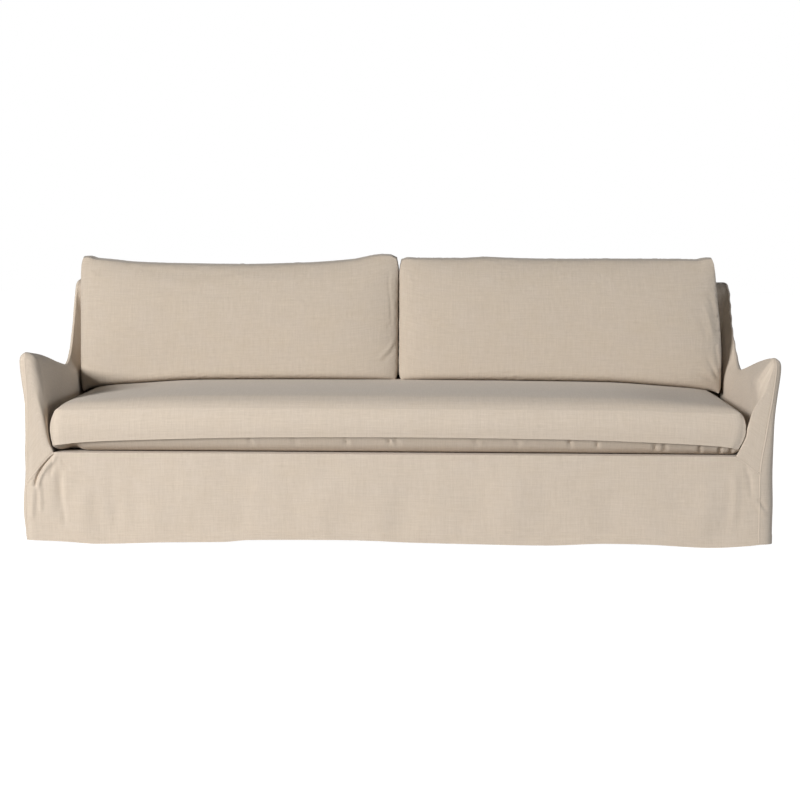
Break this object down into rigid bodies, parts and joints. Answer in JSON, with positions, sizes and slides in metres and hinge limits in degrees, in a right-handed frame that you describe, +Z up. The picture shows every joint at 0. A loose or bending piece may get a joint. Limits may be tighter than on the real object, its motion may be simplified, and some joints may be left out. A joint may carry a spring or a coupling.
{
  "type": "fitted sofa slipcover",
  "caption": "Floor-length fitted linen slipcover for a long sofa with thin swooped arms, hollow inside, with a bench seat cushion and back cushions.",
  "frame": {"origin": "on the floor under the middle of the cover's box", "axes": "+X to the right seen from the front, -Y to the front, +Z up"},
  "size_m": [2.3555, 0.9859, 0.897],
  "materials": {
    "cover_linen": "heavy plain-weave flax linen, slubby and matt",
    "seat_linen": "heavy plain-weave flax linen, slubby and matt",
    "back_linen": "heavy plain-weave flax linen, slubby and matt"
  },
  "bodies": {
    "root": {"front_skirt": "cover_linen", "outside_arm_right": "cover_linen", "outside_arm_left": "cover_linen", "inside_arm_right": "cover_linen", "inside_arm_left": "cover_linen", "inside_back": "cover_linen", "outside_back": "cover_linen", "seat_deck": "cover_linen", "seat_cushion": "seat_linen", "back_cushion_left": "back_linen", "back_cushion_right": "back_linen"}
  },
  "joints": []
}
